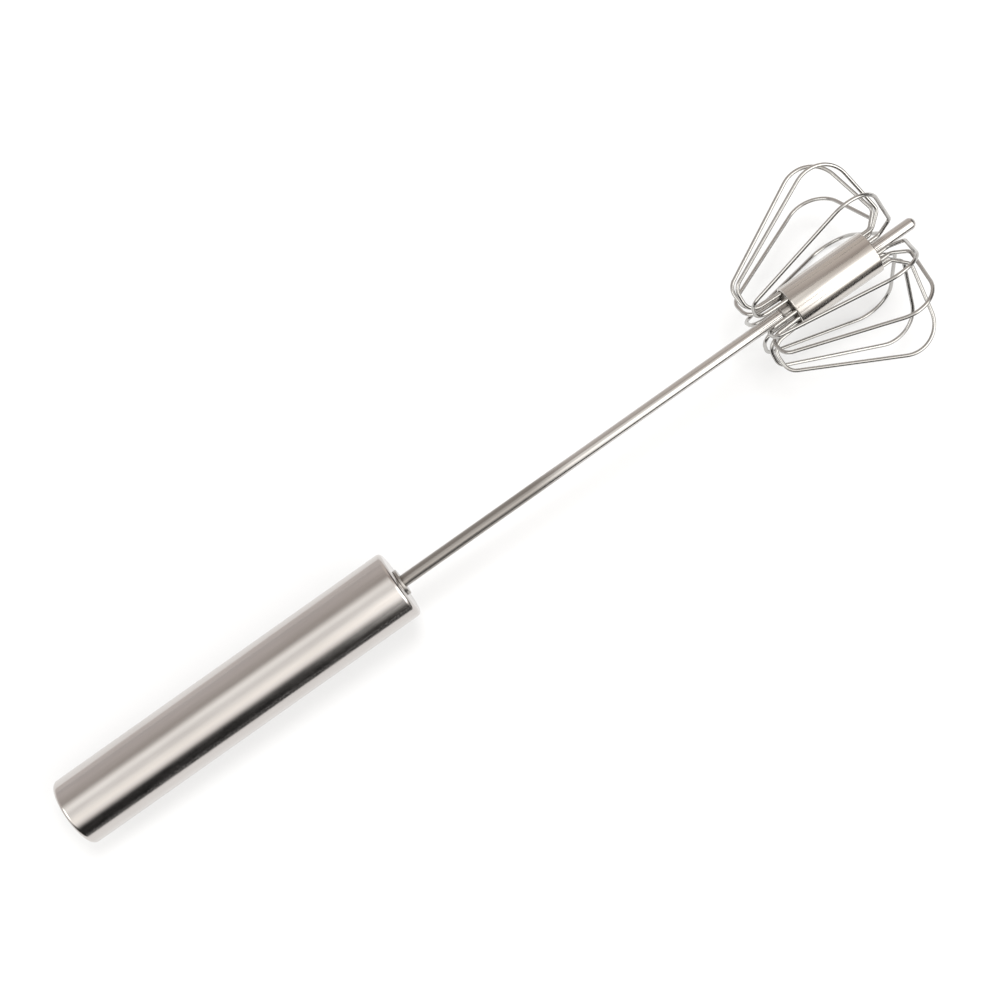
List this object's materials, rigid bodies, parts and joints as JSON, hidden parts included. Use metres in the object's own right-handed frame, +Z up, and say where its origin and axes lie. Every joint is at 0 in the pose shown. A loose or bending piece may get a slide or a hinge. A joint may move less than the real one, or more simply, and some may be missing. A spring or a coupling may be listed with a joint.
{
  "type": "push-down rotary whisk",
  "caption": "Push-down rotary whisk: pressing the straight metal handle along its thin shaft spins a cage of bent wire loops, and a spring returns it.",
  "frame": {"origin": "middle of the object's box, on the surface that the whisk lies on", "axes": "+Z up; +X from the butt of the handle towards the beater tip, with the tool's axis rising a few degrees from the table"},
  "size_m": [0.3054, 0.0662, 0.0616],
  "materials": {
    "satin_steel": "satin stainless, polished lengthwise",
    "shaft_steel": "fine drawn stainless",
    "wire_steel": "bright drawn stainless wire",
    "bushing_steel": "turned stainless",
    "spring_steel": "bright spring steel",
    "nylon": "moulded natural nylon"
  },
  "bodies": {
    "handle": {"handle_tube": "satin_steel", "end_cap": "satin_steel", "strip_anchor": "satin_steel", "anchor_pin": "spring_steel", "spiral_strip": "spring_steel", "upper_spring_washer": "spring_steel", "return_spring": "spring_steel", "nose_bushing": "bushing_steel", "bushing_lock_ring": "spring_steel"},
    "spring_seat": {"lower_spring_washer": "spring_steel", "thrust_washer": "nylon"},
    "whisk_shaft": {"drive_nut": "nylon", "stop_collar": "satin_steel", "shaft_tube": "shaft_steel", "beater_tip": "shaft_steel", "head_collar": "shaft_steel", "whisk_core": "satin_steel", "whisk_sleeve": "satin_steel", "whisk_wire_01": "wire_steel", "whisk_wire_02": "wire_steel", "whisk_wire_03": "wire_steel", "whisk_wire_04": "wire_steel", "whisk_wire_05": "wire_steel", "whisk_wire_06": "wire_steel", "whisk_wire_07": "wire_steel", "whisk_wire_08": "wire_steel", "whisk_wire_09": "wire_steel", "whisk_wire_10": "wire_steel"}
  },
  "joints": [
    {"name": "handle_push", "type": "slide", "parent": "handle", "child": "spring_seat", "axis": [-0.9976, 0, -0.0695], "range_m": [0, 0.055], "stiffness_N_per_m": 120, "springref_m": -0.025, "deforming": ["return_spring"]},
    {"name": "shaft_spin", "type": "hinge", "parent": "spring_seat", "child": "whisk_shaft", "pos_m": [-0.0483, -0.00011, 0.0181], "axis": [-0.9976, 0, -0.0695], "range_deg": [-2, 902]}
  ],
  "couplings": [
    {"joint": "shaft_spin", "follows": "handle_push", "rad_per_m": 285.6}
  ]
}
